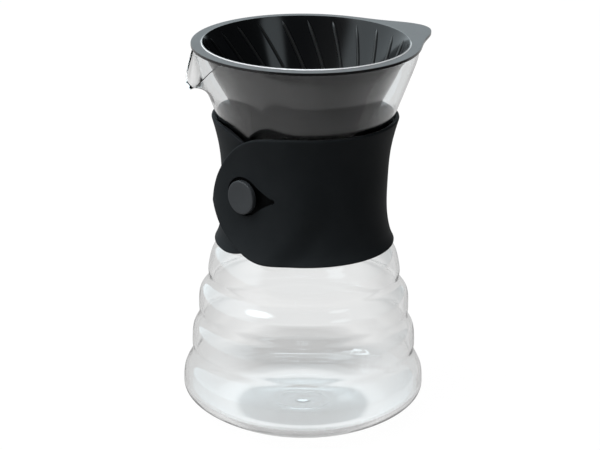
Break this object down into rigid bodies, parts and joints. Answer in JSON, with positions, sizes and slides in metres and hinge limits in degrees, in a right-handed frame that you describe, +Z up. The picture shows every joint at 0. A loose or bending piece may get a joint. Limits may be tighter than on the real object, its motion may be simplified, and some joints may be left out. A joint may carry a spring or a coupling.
{
  "type": "pour-over coffee maker",
  "caption": "Pour-over coffee maker: a rippled glass carafe with a pouring lip, a lift-off cone dripper with spiral ribs, and a silicone neck band that buttons shut.",
  "frame": {"origin": "on the carafe's axis at the table, in the middle of the foot ring", "axes": "+Z up along the carafe's axis, -X towards the pouring lip, +X towards the dripper's thumb tab"},
  "size_m": [0.1403, 0.131, 0.208],
  "materials": {
    "glass": "clear heat-proof glass, smooth",
    "dripper_plastic": "black, glossy in the bowl, satin on the flange",
    "silicone": "matt black silicone",
    "button_plastic": "satin charcoal"
  },
  "bodies": {
    "carafe": {"carafe": "glass", "band_cuff": "silicone", "band_button": "button_plastic"},
    "dripper": {"dripper": "dripper_plastic"},
    "flap": {"band_flap": "silicone"}
  },
  "joints": [
    {"name": "dripper_lift", "type": "slide", "parent": "carafe", "child": "dripper", "axis": [0, 0, 1], "range_m": [0, 0.11]},
    {"name": "flap_peel", "type": "hinge", "parent": "carafe", "child": "flap", "pos_m": [-0.02236, -0.04794, 0.133], "axis": [0, 0, 1], "range_deg": [0, 65]}
  ]
}
